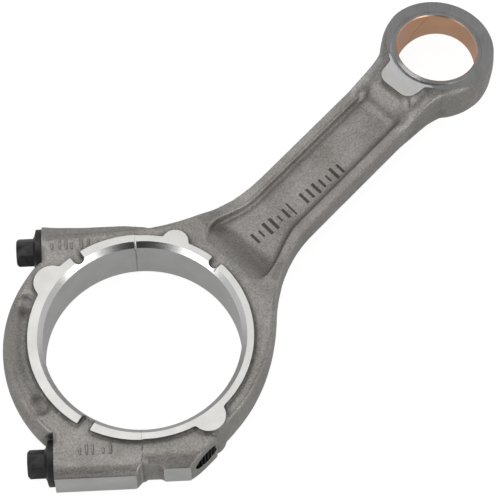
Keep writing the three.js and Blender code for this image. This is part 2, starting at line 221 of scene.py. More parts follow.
# the forging as it is before any machining, with stock left on it
blank = {
    "voxel": 0.6,  # size of the remeshed grain
    "weld": 0.002,  # points this close are one
    "stock": 2.6,  # left on the faces that are ground later
    "flatStock": 2,  # left on the bolt seats and flats, and past the bore's chamfers
    "overlap": 0.6,  # of the cap's joint face into the rod, which makes them one again
    "soften": 9,  # rounds of smoothing that make the forged radii
    "pocketSoften": 10,  # more of them where the forging is hollow
    "neckSoften": 60,  # and where the beam runs up to the pad
    "hollowReach": ((10, 0.9), (60, 0.42)),  # how widely hollows are darkened as painted shade, and how much
    "trough": (47.9, 2.1, 113, 170),  # painted shade in the cap's trough: radius, width, and the degrees where it starts and ends
    "troughShade": 0.42,  # how much darker the painted shade makes its floor
    "flash": 0.4,  # height of the trimmed flash line round the sides
    "flashHalf": 0.9,  # half its width
    "waves": 0.07,  # unevenness of the forged skin
    "waveSize": 3.2,
}


# height of the small end's upper face at a distance from the big-end bore's axis
def taperHeight(x):
    start = rod["centreDistance"] - rod["taperStart"]
    return thick - rod["milledStep"] - max(0, x - start) * math.tan(math.radians(rod["taperAngle"]))


# a face that is ground or milled later; up is 1 for the upper side and -1 for the lower
def isGround(face, up):
    x, _, z = fromBore(face.center)
    level = z if up > 0 else thick - z
    if face.normal.z * up < 0.95:
        return False
    if abs(level - thick) < 0.05:
        return True
    return x > rod["centreDistance"] - rod["milledStart"] - 1 and abs(level - taperHeight(x)) < 0.06


def isBoreChamfer(face, up):
    x, y, _ = fromBore(face.center)
    return 0.5 < face.normal.z * up < 0.9 and math.hypot(x, y) < rod["boreRadius"] + rod["boreChamfer"] + 0.3


# a flat face at one place along or across the joint, facing away from the bore
def faceAway(face, u=None, w=None):
    fu, fw = along(*fromBore(face.center)[:2])
    nu, nw = along(face.normal.x, face.normal.y)
    if u is not None:
        return abs(fu - u) < 0.1 and nu < -0.97
    return abs(fw - w) < 0.1 and nw < -0.97


def isJoint(face):
    w = along(*fromBore(face.center)[:2])[1]
    return abs(w - rod["splitOffset"]) < 0.4 and along(face.normal.x, face.normal.y)[1] > 0.97


def shiftBy(u, w):
    x, y = at(u, w)
    return x * mm, y * mm, 0


# the two halves grown together again, with stock on the machined faces and every hole filled
def makeBlank():
    parts = []
    for node, body in (("rod_body", "rod"), ("bearing_cap", "cap")):
        part = copyOf(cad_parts[node], node + "_blank")
        part.parent = None
        only(part)
        bpy.ops.object.mode_set(mode="EDIT")
        bpy.ops.mesh.select_all(action="SELECT")
        bpy.ops.mesh.remove_doubles(threshold=blank["weld"] * mm)
        bpy.ops.object.mode_set(mode="OBJECT")
        parts.append(part)
    grow(parts[1], isJoint, shiftBy(0, blank["overlap"]))
    for part in parts:
        for up in (1, -1):
            grow(part, lambda face: isGround(face, up), (0, 0, up * blank["stock"] * mm))
            chamferStock = blank["stock"] + blank["flatStock"]
            grow(part, lambda face: isBoreChamfer(face, up), (0, 0, up * chamferStock * mm))
        for bolt in bolts.values():
            grow(part, lambda face: faceAway(face, w=bolt["seat"]), shiftBy(0, -blank["flatStock"]))
        for flat in ("capFlat", "padFlat"):
            grow(part, lambda face: faceAway(face, u=rod[flat]), shiftBy(-blank["flatStock"], 0))
    # each filler is a little wider than its hole
    fillers = [drum(rod["boreRadius"] + 0.4, 0.4, thick - 0.4)]
    fillers.append(drum(rod["pinBoreRadius"] + rod["bushWall"] + 1, -2, thick, rod["centreDistance"], 0, 96))
    for bolt in bolts.values():
        fillers.append(boltDrum(rod["boltHole"] + 0.5, bolt["seat"] - 1, bolt["fill"], bolt["u"]))
    only(parts[0])
    for obj in parts[1:] + fillers:
        obj.select_set(True)
    bpy.ops.object.join()
    return named("forging")


# the beam's two pockets with their ramps
def inPocket(x, y, z):
    away = abs(z - middle)
    if 50 < x < 146 and math.hypot(x, y) > 47:
        width = 11.4 + max(0, 74 - x) * 0.28  # they widen towards the big end
        return away > 1.5 and -width - 1 < y < width
    return False


# where the web ramps up to the pad by the eye, and the troughs in the cap's faces
def inNeckOrTrough(x, y, z):
    away = abs(z - middle)
    if x < 0:
        return 111 < math.degrees(math.atan2(y, x)) % 360 < 172 and 45 < math.hypot(x, y) < 53 and away > 4
    beyond = x > 152 and abs(y) < rod["padHalfWidth"] + 0.5
    return 138 < x < 160 and abs(y) < 14 and 2.2 < away < 11.8 and not beyond


# turns the blank into one rounded, shot-blasted skin
def forge(obj):
    obj.data.remesh_voxel_size = blank["voxel"] * mm
    only(obj)
    bpy.ops.object.voxel_remesh()
    for vertex in obj.data.vertices:
        vertex.select = False
    for face in obj.data.polygons:
        face.select = abs(face.normal.z) < 0.5 and abs(face.center.z / mm - middle) < blank["flashHalf"]
    bpy.ops.object.mode_set(mode="EDIT")
    bpy.ops.transform.shrink_fatten(value=blank["flash"] * mm)
    done()
    for region, rounds in ((inPocket, blank["pocketSoften"]), (inNeckOrTrough, blank["neckSoften"])):
        for vertex in obj.data.vertices:
            vertex.select = region(*fromBore(vertex.co))
        bpy.ops.object.mode_set(mode="EDIT")
        bpy.ops.mesh.vertices_smooth(factor=0.5, repeat=rounds)
        done()
    applied(obj, "SMOOTH", factor=0.5, iterations=blank["soften"])
    skin = bpy.data.textures.new("forgedSkin", "CLOUDS")
    skin.noise_scale = blank["waveSize"] * mm
    skin.noise_depth = 2
    applied(obj, "DISPLACE", texture=skin, texture_coords="LOCAL", mid_level=0.5,
            strength=blank["waves"] * mm)
    print("forging blank", len(obj.data.polygons), "faces")
    return obj


# how hollow the forging is at each of its points, for the painted shade in hollows and the painted highlight
# on edges; edges come out negative
def hollowMap(obj):
    depth = [0.0] * len(obj.data.vertices)
    for rounds, share in blank["hollowReach"]:
        relaxed = applied(copyOf(obj, "relaxed"), "SMOOTH", factor=0.5, iterations=rounds)
        for index, (rough, smooth) in enumerate(zip(obj.data.vertices, relaxed.data.vertices)):
            depth[index] += share * (smooth.co - rough.co).dot(rough.normal) / mm
        bpy.data.objects.remove(relaxed)
    tree = kdtree.KDTree(len(depth))
    for index, vertex in enumerate(obj.data.vertices):
        tree.insert(vertex.co, index)
    tree.balance()
    return tree, depth


# painted shade along the floor of the long trough in the cap's faces
def inTrough(point):
    x, y, z = fromBore(point)
    middleRadius, width, start, end = blank["trough"]
    turn = math.degrees(math.atan2(y, x)) % 360
    inside = min(turn - start, end - turn) / 6
    if abs(z - middle) < 5 or inside < 0:
        return 0.0
    return blank["troughShade"] * min(1, inside) * math.exp(-((math.hypot(x, y) - middleRadius) / width) ** 2)


# the machined pieces take it from the nearest point of the forging, with the trough's painted shade added
def markHollows(obj, tree, depth):
    layer = obj.data.attributes.new("hollow", "FLOAT", "POINT")
    for vertex, value in zip(obj.data.vertices, layer.data):
        index, away = tree.find(vertex.co)[1:]
        # the trough's painted shade is added to the hollow value
        value.value = depth[index] + inTrough(vertex.co) if away < 1.2 * mm else 0.0


# what machining takes off the forging
def thrustCutters():
    return [block((-90, -90, thick), (240, 90, thick + 20)), block((-90, -90, -20), (240, 90, 0))]


# takes the eye down to its flat milled band and its two tapered faces
def taperCutter(up):
    start = rod["centreDistance"] - rod["milledStart"]
    cutter = block((start, -40, 0), (start + 70, 40, 20))
    bend = rod["centreDistance"] - rod["taperStart"]
    only(cutter)
    bpy.ops.object.mode_set(mode="EDIT")
    bpy.ops.mesh.select_all(action="SELECT")
    bpy.ops.mesh.bisect(plane_co=place(bend, 0, 0), plane_no=(1, 0, 0))
    bpy.ops.object.mode_set(mode="OBJECT")
    for vertex in cutter.data.vertices:
        x, _, z = fromBore(vertex.co)
        if z < 1:
            vertex.co.z = taperHeight(x) * mm
        else:
            vertex.co.z = (thick + 10) * mm
        if up < 0:
            vertex.co.z = thick * mm - vertex.co.z
    if up < 0:
        only(cutter)
        bpy.ops.object.mode_set(mode="EDIT")
        bpy.ops.mesh.select_all(action="SELECT")
        bpy.ops.mesh.flip_normals()
        done()
    return cutter


def boreCutter():
    radius, chamfer = rod["boreRadius"], rod["boreChamfer"]
    cutter = drum(radius, chamfer, thick - chamfer)
    out = chamfer + 1  # the cones end clear of the faces
    flare(cutter, 1, out, (radius + out) / radius)
    flare(cutter, -1, out, (radius + out) / radius)
    return cutter


# the eye's bore: its chamfer was cut before the faces were tapered, so only a crescent of it is left
def eyeCutter():
    radius, x = rod["pinBoreRadius"] + rod["bushWall"] + 0.02, rod["centreDistance"]
    foot = rod["eyeChamfer"] + rod["milledStep"]
    cutter = drum(radius, foot, thick - foot, x, 0)
    rise = foot + 2
    flare(cutter, 1, rise, (radius + rise) / radius, x)
    flare(cutter, -1, rise, (radius + rise) / radius, x)
    return cutter


def boltCutters():
    cutters = []
    for bolt in bolts.values():
        cutters.append(boltDrum(rod["spotFace"], bolt["seat"] - 30, bolt["seat"], bolt["u"]))
        cutters.append(tilted(*bolt["sweep"], bolt["seat"] - 20, bolt["seat"]))
        cutters.append(boltDrum(rod["boltHole"], bolt["seat"] - 1, bolt["holeEnd"], bolt["u"]))
    return cutters


def flatCutters():
    split = rod["splitOffset"]
    capSide = tilted(rod["capFlat"] - 20, rod["capFlat"], -60, split)
    padSide = tilted(rod["padFlat"] - 20, rod["padFlat"], split, 45)
    return [capSide, padSide]


def machine(obj):
    cut(obj, *thrustCutters())
    cut(obj, taperCutter(1), taperCutter(-1))
    cut(obj, boreCutter())
    cut(obj, eyeCutter())
    cut(obj, *boltCutters())
    cut(obj, *flatCutters())
    print("machined", len(obj.data.polygons), "faces")
    return obj


# the broken joint: one wavy sheet cuts both halves, so that their broken faces match
fracture = {
    "step": 0.45,  # between the sheet's points
    "height": 0.35,  # of its fine grain
    "swell": 0.5,  # of its wide waves
    "gap": 0.07,
}


# all that lies on one side of the sheet
def fractureTool(side):
    span, depth = 130, 40
    bpy.ops.mesh.primitive_grid_add(
        x_subdivisions=int(span / fracture["step"]), y_subdivisions=int(depth / fracture["step"]), size=1)
    tool = named("fracture")
    tool.scale = (span * mm, depth * mm, 1)
    settle(tool)
    for vertex in tool.data.vertices:
        spot = vertex.co / mm
        fine = noise.noise(spot * 0.9) * fracture["height"]
        wide = noise.noise(spot * 0.14) * fracture["swell"]
        vertex.co.z = (fine + wide) * mm
    only(tool)
    bpy.ops.object.mode_set(mode="EDIT")
    bpy.ops.mesh.select_all(action="SELECT")
    bpy.ops.mesh.extrude_region_move(TRANSFORM_OT_translate={"value": (0, 0, side * 200 * mm)})
    bpy.ops.mesh.select_all(action="SELECT")
    bpy.ops.mesh.normals_make_consistent(inside=False)
    done()
    # the sheet's x lies along u, its y along the bore and its z along w
    half = math.sqrt(0.5)
    frameTurn = Matrix(((half, 0, half, 0), (half, 0, -half, 0), (0, 1, 0, 0), (0, 0, 0, 1)))
    x, y = at(0, rod["splitOffset"] - side * fracture["gap"] / 2)
    tool.matrix_world = Matrix.Translation(place(x, y, middle)) @ frameTurn
    return settle(tool)


def splitForging(rodHalf):
    cap = cut(copyOf(rodHalf, "cap"), tilted(-300, 300, 8, 300))
    rodHalf.name = "rod"
    cut(rodHalf, fractureTool(-1))
    cut(cap, fractureTool(1))
    print("split:", len(rodHalf.data.polygons), "and", len(cap.data.polygons), "faces")
    return rodHalf, cap


# raised plain strokes on the two ends of the cap's front face, and the row of burnt bars on the web
marks = {
    "strokeWidth": 0.8,
    "strokeRise": 0.6,
    "face": 22.25,  # height of the cap's forged face there
    "upper": {"u": (39.7, 44.1), "w": (-34.2, -31.2, -28.6, -26.4, -22.6, -19.8)},
    "lower": {"u": (-47.4, -43.2), "w": (-25.2, -22.6, -20.4, -16.4, -13.6)},
    "rowStart": (62, -1.1),  # from the big-end bore's axis
    "rowTurn": -5,
    "rowLength": 49.7,
    "firstGroup": 21.5,
    "secondGroup": 26.5,
    "barStep": 3.3,
    "barHeight": 6.6,
}


def raiseMarks(cap):
    strokes = []
    half = marks["strokeWidth"] / 2
    foot, top = marks["face"] - 1, marks["face"] + marks["strokeRise"]
    for group in ("upper", "lower"):
        low, high = marks[group]["u"]
        for index, w in enumerate(marks[group]["w"]):
            end = high if index % 3 else (low + high) / 2 + 0.6  # every third stroke is a short one
            stroke = tilted(low, end, w - half, w + half, foot, top)
            strokes.append(applied(stroke, "BEVEL", width=0.15 * mm, segments=2))
    cut(cap, *strokes, operation="UNION")


forging = forge(makeBlank())
hollowTree, hollowDepth = hollowMap(forging)
rodPiece, capPiece = splitForging(machine(forging))
raiseMarks(capPiece)
for piece in (rodPiece, capPiece):
    markHollows(piece, hollowTree, hollowDepth)
print("hollows marked")


# a node socket that takes part in sums
class Value:
    def __init__(self, sheet, socket):
        self.sheet = sheet
        self.socket = socket

    def join(self, operation, other=None, swap=False):
        node = self.sheet.tree.nodes.new("ShaderNodeMath")
        node.operation = operation
        pair = [other, self] if swap else [self, other]
        for slot, value in zip(node.inputs, pair):
            if value is None:
                continue
            if isinstance(value, Value):
                self.sheet.tree.links.new(value.socket, slot)
            else:
                slot.default_value = value
        return Value(self.sheet, node.outputs[0])

    def __add__(self, other):
        return self.join("ADD", other)

    __radd__ = __add__

    def __sub__(self, other):
        return self.join("SUBTRACT", other)

    def __rsub__(self, other):
        return self.join("SUBTRACT", other, swap=True)

    def __mul__(self, other):
        return self.join("MULTIPLY", other)

    __rmul__ = __mul__

    def __truediv__(self, other):
        return self.join("DIVIDE", other)

    def __gt__(self, other):
        return self.join("GREATER_THAN", other)

    def __lt__(self, other):
        return self.join("LESS_THAN", other)


# the shader nodes of one material or of the room
class Finish:
    def __init__(self, name, owner=None, shader="Principled BSDF"):
        self.material = owner or bpy.data.materials.new(name)
        self.material.use_nodes = True
        self.tree = self.material.node_tree
        self.shader = self.tree.nodes[shader]

    # any node: its type, its settings, then the values or links of its sockets
    def node(self, kind, settings=None, output=0, **sockets):
        node = self.tree.nodes.new("ShaderNode" + kind)
        for key, value in (settings or {}).items():
            if key == "stops":
                self.setStops(node.color_ramp, value)
            else:
                setattr(node, key, value)
        for key, value in sockets.items():
            slot = self.slotOf(node, key)
            if isinstance(value, Value):
                self.tree.links.new(value.socket, slot)
            else:
                slot.default_value = value
        return Value(self, node.outputs[output])

    def slotOf(self, node, key):
        if key.startswith("input"):
            return node.inputs[int(key[5:])]
        return node.inputs[key.replace("_", " ")]

    def setStops(self, ramp, stops):
        while len(ramp.elements) < len(stops):
            ramp.elements.new(0.5)
        for element, (position, grey) in zip(ramp.elements, stops):
            element.position = position
            element.color = (grey, grey, grey, 1)

    def shade(self, **sockets):
        for key, value in sockets.items():
            slot = self.shader.inputs[key.replace("_", " ")]
            if isinstance(value, Value):
                self.tree.links.new(value.socket, slot)
            else:
                slot.default_value = value

    def coordinates(self):
        return self.node("TexCoord", output=3)

    # object coordinates in millimetres, centred on a point and turned
    def around(self, x, y, z=0, turn=(0, 0, 0), scale=(1, 1, 1)):
        return self.node("Mapping", {"vector_type": "TEXTURE"}, Vector=self.coordinates(),
                         Location=place(x, y, z), Rotation=turn, Scale=[mm / s for s in scale])

    def noise(self, vector, scale, detail, roughness):
        return self.node("TexNoise", Vector=vector, Scale=scale, Detail=detail, Roughness=roughness)

    def ramp(self, value, *stops):
        return self.node("ValToRGB", {"stops": stops}, Fac=value)

    def mix(self, factor, first, second, blend="MIX"):
        return self.node("Mix", {"data_type": "RGBA", "blend_type": blend}, output=2, input0=factor,
                         input6=first, input7=second)

    def bump(self, height, strength, distance):
        return self.node("Bump", Height=height, Strength=strength, Distance=distance)


# a row of plain burnt bars on the front of the web, in two groups
def etching(finish):
    row = finish.around(*marks["rowStart"], middle, (0, 0, math.radians(marks["rowTurn"])))
    reach = finish.node("SeparateXYZ", output=0, Vector=row)
    across = finish.node("SeparateXYZ", output=1, Vector=row)
    up = finish.node("SeparateXYZ", output=2, Vector=row)
    cell = (reach / marks["barStep"]).join("FLOOR")
    inside = (reach / marks["barStep"]).join("FRACT")
    chance = finish.node("TexWhiteNoise", {"noise_dimensions": "1D"}, W=cell)
    half = marks["barHeight"] / 2
    tall = across.join("ABSOLUTE") < chance * half * 0.55 + half * 0.45
    wide = (inside - 0.5).join("ABSOLUTE") < chance * 0.12 + 0.12
    first = (reach > 0) * (reach < marks["firstGroup"])
    second = (reach > marks["secondGroup"]) * (reach < marks["rowLength"])
    return tall * wide * (first + second) * (up > 0)


def forgedSteel():
    finish = Finish("forgedSteel")
    here = finish.around(0, 0)
    patches = finish.noise(here, 0.07, 4, 0.6)
    grain = finish.noise(here, 1.5, 4, 0.7)
    fine = finish.noise(here, 4.5, 3, 0.7)
    pits = finish.node("TexVoronoi", {"feature": "F1"}, Vector=here, Scale=1.1)
    dark, light = (0.455, 0.43, 0.402, 1), (0.61, 0.585, 0.556, 1)
    tone = finish.mix(finish.ramp(patches, (0.3, 0), (0.7, 1)), dark, light)
    dark, light = (0.72, 0.72, 0.72, 1), (1.24, 1.24, 1.24, 1)
    speck = finish.mix(finish.ramp(grain, (0.38, 0), (0.62, 1)), dark, light)
    # painted shade: the forging is darker in its hollows, creases and trough, and lighter on its edges as a
    # painted highlight
    hollow = finish.node("Attribute", {"attribute_name": "hollow"}, output=2) * 0.8 + 0.35
    paintedShadeAndEdgeLight = finish.ramp(hollow, (0.1, 1), (0.35, 0.8), (0.5, 0.62), (0.85, 0.26))
    plain = finish.mix(1.0, finish.mix(1.0, tone, speck, "MULTIPLY"), paintedShadeAndEdgeLight, "MULTIPLY")
    colour = finish.mix(etching(finish) * 0.85, plain, (0.06, 0.042, 0.036, 1))
    height = grain * 0.6 + fine * 0.5 + finish.ramp(pits, (0.0, 0), (0.35, 1)) * 0.35
    normal = finish.bump(height, 0.6, 0.12 * mm)
    finish.shade(Base_Color=colour, Metallic=0.9, Roughness=grain * 0.18 + 0.36, Normal=normal)
    return finish.material


# bright machined steel: straight marks along two directions
def machinedSteel(name, dark, light, roughness, turns):
    finish = Finish(name)
    first = finish.noise(finish.around(0, 0, 0, (0, 0, math.radians(turns[0])), (0.05, 6, 1)), 1.0, 4, 0.7)
    second = finish.noise(finish.around(0, 0, 0, (0, 0, math.radians(turns[1])), (0.08, 5, 1)), 1.0, 3, 0.6)
    cloud = finish.noise(finish.around(0, 0), 0.12, 3, 0.6)
    lines = first * 0.6 + second * 0.4
    colour = finish.mix(finish.ramp(lines, (0.35, 0), (0.65, 1)), dark, light)
    normal = finish.bump(lines, 0.25, 0.02 * mm)
    rough = cloud * 0.12 + lines * 0.12 + roughness
    finish.shade(Base_Color=colour, Metallic=1.0, Roughness=rough, Normal=normal)
    return finish.material


# rings left by a tool going round a bore on +Z
def boredMetal(name, dark, light, roughness, depth):
    finish = Finish(name)
    here = finish.around(0, 0)
    height = finish.node("SeparateXYZ", output=2, Vector=here)
    tool = finish.noise(finish.node("CombineXYZ", X=height * 5, Y=0.0, Z=0.0), 1.0, 5, 0.75)
    cloud = finish.noise(here, 0.1, 3, 0.6)
    colour = finish.mix(finish.ramp(tool * 0.6 + cloud * 0.4, (0.3, 0), (0.7, 1)), dark, light)
    normal = finish.bump(tool, depth, 0.03 * mm)
    rough = tool * 0.14 + cloud * 0.1 + roughness
    finish.shade(Base_Color=colour, Metallic=1.0, Roughness=rough, Normal=normal)
    return finish.material


# thread in the bolt holes, seen only where a hole comes out of the metal; its near-black colour, darkest in
# the thread's roots, is painted shade inside the holes
def tappedSteel():
    finish = Finish("tappedSteel")
    here = finish.around(0, 0, 0, (0, 0, math.radians(-45)))
    reach = finish.node("SeparateXYZ", output=0, Vector=here)
    groove = (reach / threadPitch).join("PINGPONG", 0.5) * 2
    normal = finish.bump(groove, 1.0, 0.5 * mm)
    # painted shade: near black, and darkest in the thread's roots
    colour = finish.mix(groove, (0.03, 0.03, 0.03, 1), (0.11, 0.11, 0.11, 1))
    finish.shade(Base_Color=colour, Metallic=1.0, Roughness=0.45, Normal=normal)
    return finish.material


def brokenSteel():
    finish = Finish("brokenSteel")
    here = finish.around(0, 0)
    crystals = finish.node("TexVoronoi", {"feature": "F1"}, Vector=here, Scale=3.5)
    grain = finish.noise(here, 2.2, 5, 0.8)
    dark, light = (0.34, 0.335, 0.33, 1), (0.55, 0.545, 0.54, 1)
    colour = finish.mix(finish.ramp(crystals, (0.0, 0), (0.7, 1)), dark, light)
    normal = finish.bump(crystals * 0.5 + grain, 0.8, 0.15 * mm)
    finish.shade(Base_Color=colour, Metallic=0.9, Roughness=grain * 0.25 + 0.4, Normal=normal)
    return finish.material


def blackOxide():
    finish = Finish("blackOxide")
    here = finish.around(0, 0)
    grain = finish.noise(here, 3.0, 4, 0.7)
    patches = finish.noise(here, 0.3, 3, 0.6)
    dark, light = (0.036, 0.036, 0.038, 1), (0.075, 0.075, 0.076, 1)
    colour = finish.mix(finish.ramp(patches, (0.3, 0), (0.7, 1)), dark, light)
    normal = finish.bump(grain, 0.3, 0.04 * mm)
    finish.shade(Base_Color=colour, Metallic=0.6, Roughness=grain * 0.2 + 0.3, Normal=normal)
    return finish.material


finishes = {
    "forged": forgedSteel(),
    "ground": machinedSteel("groundSteel", (0.66, 0.65, 0.63, 1), (0.78, 0.77, 0.75, 1), 0.27, (28, -47)),
    "milled": machinedSteel("milledSteel", (0.64, 0.64, 0.64, 1), (0.84, 0.84, 0.84, 1), 0.2, (45, 38)),
    "bored": boredMetal("boredSteel", (0.6, 0.6, 0.59, 1), (0.82, 0.82, 0.81, 1), 0.22, 0.35),
    "turned": boredMetal("turnedSteel", (0.74, 0.74, 0.73, 1), (0.86, 0.86, 0.85, 1), 0.13, 0.15),
    "tapped": tappedSteel(),
    "broken": brokenSteel(),
    "bronze": boredMetal("bronze", (0.76, 0.42, 0.25, 1), (0.98, 0.64, 0.43, 1), 0.2, 0.3),
    "black": blackOxide(),
}


# which finish a face of the rod or the cap has, by where it lies
def finishOf(face):
    x, y, z = fromBore(face.center)
    radius = math.hypot(x, y)
    u, w = along(x, y)
    nw = along(face.normal.x, face.normal.y)[1]
    away = abs(z - middle)
    level = middle + away
    if abs(face.normal.z) > 0.97 and level > thick - 0.02:
        return "ground"
    if abs(face.normal.z) > 0.97 and x > rod["centreDistance"] - rod["milledStart"] - 1:
        if abs(level - taperHeight(x)) < 0.03:
            return "milled"
    if radius < rod["boreRadius"] + 0.05:
        return "bored"
    cone = radius - rod["boreRadius"] - max(0, away - middle + rod["boreChamfer"])
    if abs(cone) < 0.05:
        return "turned"
    if math.hypot(x - rod["centreDistance"], y) < rod["pinBoreRadius"] + rod["bushWall"] + 1.7:
        return "milled"
    if abs(w - rod["splitOffset"]) < 1.2 and abs(nw) > 0.5:
        return "broken"
    if abs(u - rod["capFlat"]) < 0.03 or (w > 0 and abs(u - rod["padFlat"]) < 0.03):
        return "bored"
    for bolt in bolts.values():
        if abs(w - bolt["seat"]) < 0.03 and abs(u - bolt["u"]) < rod["spotFace"] + 2:
            return "bored"
        if w < bolt["holeEnd"] and math.hypot(u - bolt["u"], z - middle) < rod["boltHole"] + 0.05:
            return "tapped"
    return "forged"


def paint(obj):
    order = ["forged", "ground", "milled", "bored", "turned", "tapped", "broken"]
    obj.data.materials.clear()
    for name in order:
        obj.data.materials.append(finishes[name])
    for face in obj.data.polygons:
        face.material_index = order.index(finishOf(face))
    only(obj)
    bpy.ops.object.shade_smooth_by_angle(angle=math.radians(28))
    return obj


def finishForging(obj, name, node, body):
    paint(obj)
    obj.name = name
    obj.data.name = name
    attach(obj, body)
    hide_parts(node)


finishForging(rodPiece, "forged_rod", "rod_body", "rod")
finishForging(capPiece, "forged_cap", "bearing_cap", "cap")
print("rod and cap painted")


# a cap bolt: hexagon head on a coned flange, plain shank, rolled thread
capBolt = {
    "shank": 4.1,  # radius of the plain part
    "fillet": 5.0,  # its radius where it meets the flange
    "threadRadius": 4.25,
    "threadDepth": 0.62,
    "threadFrom": 2.5,  # across the joint
    "play": 0.3,  # under the flange
    "flangeRadius": 9.0,
    "flangeRim": 2.0,
    "coneTop": 6.2,
    "flangeHeight": 3.3,
    "acrossFlats": 10.0,
    "headHeight": 6.7,
    "headTurn": 10,
    "cornerCone": 1.1,  # height of the cone that its corners are turned to
    "cornerRound": 0.35,
    "dish": 0.35,  # depth of the hollow in its end
}


# draws out the face on the axis at one end
def drawEnd(obj, up, rise, widen):
    level = ends(obj)[up > 0]
    facesWhere(obj, lambda face: face.normal.z * up > 0.9 and abs(face.center.z - level) < 0.01 * mm
               and math.hypot(face.center.x, face.center.y) < 0.05 * mm)
    bpy.ops.mesh.extrude_region_move(TRANSFORM_OT_translate={"value": (0, 0, up * rise * mm)})
    bpy.ops.transform.resize(value=(widen, widen, 1), center_override=(0, 0, 0))
    done()


def ends(obj):
    heights = [vertex.co.z for vertex in obj.data.vertices]
    return min(heights), max(heights)


# a flat grid rolled up round the axis, its radius following the thread
def threadedRod(length):
    steps = int(length / threadPitch * 8)
    bpy.ops.mesh.primitive_grid_add(x_subdivisions=48, y_subdivisions=steps, size=1)
    thread = named("thread")
    for vertex in thread.data.vertices:
        turn = (vertex.co.x + 0.5) * 2 * math.pi
        height = (vertex.co.y + 0.5) * length
        phase = (height / threadPitch - turn / (2 * math.pi)) % 1
        depth = min(1, max(0, 2.4 * abs(phase - 0.5) * 2 - 0.7))
        fade = min(1, max(0, (length - height) / 1.4))
        radius = capBolt["threadRadius"] - capBolt["threadDepth"] * (1 - depth * fade)
        vertex.co = Vector((radius * math.cos(turn), radius * math.sin(turn), height)) * mm
    only(thread)
    bpy.ops.object.mode_set(mode="EDIT")
    bpy.ops.mesh.select_all(action="SELECT")
    bpy.ops.mesh.remove_doubles(threshold=0.01 * mm)
    bpy.ops.mesh.select_mode(type="EDGE")
    bpy.ops.mesh.select_all(action="DESELECT")
    bpy.ops.mesh.select_non_manifold()
    bpy.ops.mesh.fill_holes(sides=0)
    bpy.ops.mesh.select_all(action="SELECT")
    bpy.ops.mesh.normals_make_consistent(inside=False)
    done()
    return thread


def hexagonHead():
    corner = capBolt["acrossFlats"] / 2 / math.cos(math.radians(30))
    height = capBolt["headHeight"] + capBolt["flangeHeight"]
    bpy.ops.mesh.primitive_cylinder_add(radius=corner * mm, depth=height * mm, vertices=6,
                                        location=(0, 0, -height / 2 * mm),
                                        rotation=(0, 0, math.radians(capBolt["headTurn"])))
    head = settle(named("head"))
    facesWhere(head, lambda face: abs(face.normal.z) < 0.1)
    bpy.ops.mesh.select_mode(type="EDGE")
    done()
    for edge in head.data.edges:
        a, b = (head.data.vertices[i].co for i in edge.vertices)
        edge.select = abs(a.z - b.z) > 1 * mm
    bpy.ops.object.mode_set(mode="EDIT")
    bpy.ops.mesh.bevel(offset=capBolt["cornerRound"] * mm, segments=3, affect="EDGES")
    done()
    # the corners are turned off to a cone at the free end
    wide, straight = corner + 0.1, height - capBolt["cornerCone"]
    bpy.ops.mesh.primitive_cylinder_add(radius=wide * mm, depth=straight * mm, vertices=72,
                                        location=(0, 0, -straight / 2 * mm))
    cone = settle(named("cone"))
    drawEnd(cone, -1, capBolt["cornerCone"], (capBolt["acrossFlats"] / 2 - capBolt["cornerRound"]) / wide)
    cut(head, cone, operation="INTERSECT")
    drawEnd(head, -1, 0, 0.76)  # the hollow's rim, then its floor
    drawEnd(head, -1, -capBolt["dish"], 0.92)
    return head


# made standing on the seat with its thread upwards, then laid along its hole
def makeBolt(name, bolt):
    rim, radius, cone = capBolt["flangeRim"], capBolt["flangeRadius"], capBolt["coneTop"]
    bpy.ops.mesh.primitive_cylinder_add(radius=radius * mm, depth=rim * mm, vertices=96,
                                        location=(0, 0, -rim / 2 * mm))
    body = settle(named(name))
    plain = capBolt["threadFrom"] - bolt["seat"]
    # each step draws the end out, down to the head or up the shank, by a distance and to a radius
    steps = [
        (-1, 0.25, radius - 0.35),
        (-1, capBolt["flangeHeight"] - rim - 0.6, cone),
        (-1, 0.35, cone - 0.45),
        (1, 0.3, radius - 0.4),
        (1, 0, capBolt["fillet"]),
        (1, 0.35, capBolt["shank"]),
        (1, plain - 0.45, capBolt["shank"]),
    ]
    reached = {-1: radius, 1: radius}
    for up, rise, wide in steps:
        drawEnd(body, up, rise, wide / reached[up])
        reached[up] = wide
    cut(body, hexagonHead(), operation="UNION")
    thread = threadedRod(bolt["length"] - plain)
    for vertex in thread.data.vertices:
        vertex.co.z += plain * mm
    cut(body, thread, operation="UNION")
    for vertex in body.data.vertices:
        vertex.co.z -= capBolt["play"] * mm
    layOnBolt(body, bolt["u"], bolt["seat"])
    body.name = body.data.name = "cap_" + name
    body.data.materials.clear()
    body.data.materials.append(finishes["black"])
    bpy.ops.object.shade_smooth_by_angle(angle=math.radians(32))
    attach(body, bolt["body"])
    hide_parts(name)
    print(name, len(body.data.polygons), "faces")


for boltName, bolt in bolts.items():
    makeBolt(boltName, bolt)


# the pin bush: steel-backed bronze, its ends cut with the eye's tapered faces
bush = {
    "mouth": 0.4,  # chamfer inside
    "edge": 0.07,  # chamfer outside
    "play": 0.02,
    "ends": 1.6,  # how far from its faces the plain wall starts
    "seam": 0.14,  # width of the slanted joint where the strip was rolled round
    "seamTurn": 68,
    "seamSlant": 33,
}


